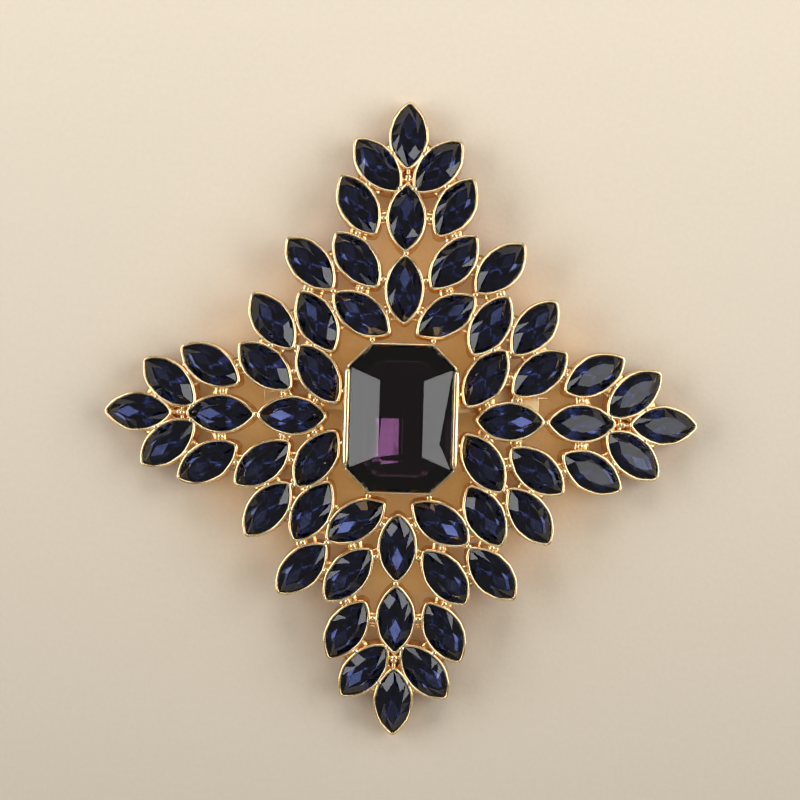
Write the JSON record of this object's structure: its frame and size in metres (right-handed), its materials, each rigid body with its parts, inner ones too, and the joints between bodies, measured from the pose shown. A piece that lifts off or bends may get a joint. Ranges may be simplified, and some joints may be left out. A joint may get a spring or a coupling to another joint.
{
  "type": "brooch",
  "caption": "Four-pointed star brooch: openwork gold-tone casting set with navy navette stones round a large step-cut purple stone, with a swinging pin and a turning safety catch behind.",
  "frame": {"origin": "on the table the brooch lies on, under its centre", "axes": "+Z out of the jewelled face, +Y along the top arm, +X along the right arm as seen from the front"},
  "size_m": [0.0738, 0.0788, 0.0121],
  "materials": {
    "cast_gold": "bright gold plating over a die-cast frame",
    "stamped_gold": "satin gold plating on stamped findings",
    "gilt_wire": "drawn wire, gold plated",
    "navy_stone": "faceted navy crystal with a foiled back",
    "purple_stone": "faceted deep purple crystal with a foiled back"
  },
  "bodies": {
    "brooch": {"cast_frame": "cast_gold", "centre_stone": "purple_stone", "top_inner_stone": "navy_stone", "top_middle_stone": "navy_stone", "top_tip_stone": "navy_stone", "top_first_pair": "navy_stone", "top_second_pair": "navy_stone", "top_third_pair": "navy_stone", "top_fourth_pair": "navy_stone", "right_inner_stone": "navy_stone", "right_middle_stone": "navy_stone", "right_tip_stone": "navy_stone", "right_first_pair": "navy_stone", "right_second_pair": "navy_stone", "right_third_pair": "navy_stone", "right_fourth_pair": "navy_stone", "bottom_inner_stone": "navy_stone", "bottom_middle_stone": "navy_stone", "bottom_tip_stone": "navy_stone", "bottom_first_pair": "navy_stone", "bottom_second_pair": "navy_stone", "bottom_third_pair": "navy_stone", "bottom_fourth_pair": "navy_stone", "left_inner_stone": "navy_stone", "left_middle_stone": "navy_stone", "left_tip_stone": "navy_stone", "left_first_pair": "navy_stone", "left_second_pair": "navy_stone", "left_third_pair": "navy_stone", "left_fourth_pair": "navy_stone", "upper_right_outer_stone": "navy_stone", "upper_right_side_stone": "navy_stone", "upper_right_inner_stone": "navy_stone", "upper_left_outer_stone": "navy_stone", "upper_left_side_stone": "navy_stone", "upper_left_inner_stone": "navy_stone", "lower_left_outer_stone": "navy_stone", "lower_left_side_stone": "navy_stone", "lower_left_inner_stone": "navy_stone", "lower_right_outer_stone": "navy_stone", "lower_right_side_stone": "navy_stone", "lower_right_inner_stone": "navy_stone", "pin_bar": "stamped_gold", "hinge_rivet": "stamped_gold", "catch_housing": "stamped_gold"},
    "pin": {"pin_stem": "gilt_wire"},
    "lock": {"catch_lock": "stamped_gold"}
  },
  "joints": [
    {"name": "pin_swing", "type": "hinge", "parent": "brooch", "child": "pin", "pos_m": [-0.015, 0.003, 0.00165], "axis": [0, 1, 0], "range_deg": [0, 80]},
    {"name": "lock_turn", "type": "hinge", "parent": "brooch", "child": "lock", "pos_m": [0.0134, 0.003, 0.00165], "axis": [-1, 0, 0], "range_deg": [0, 110]}
  ]
}
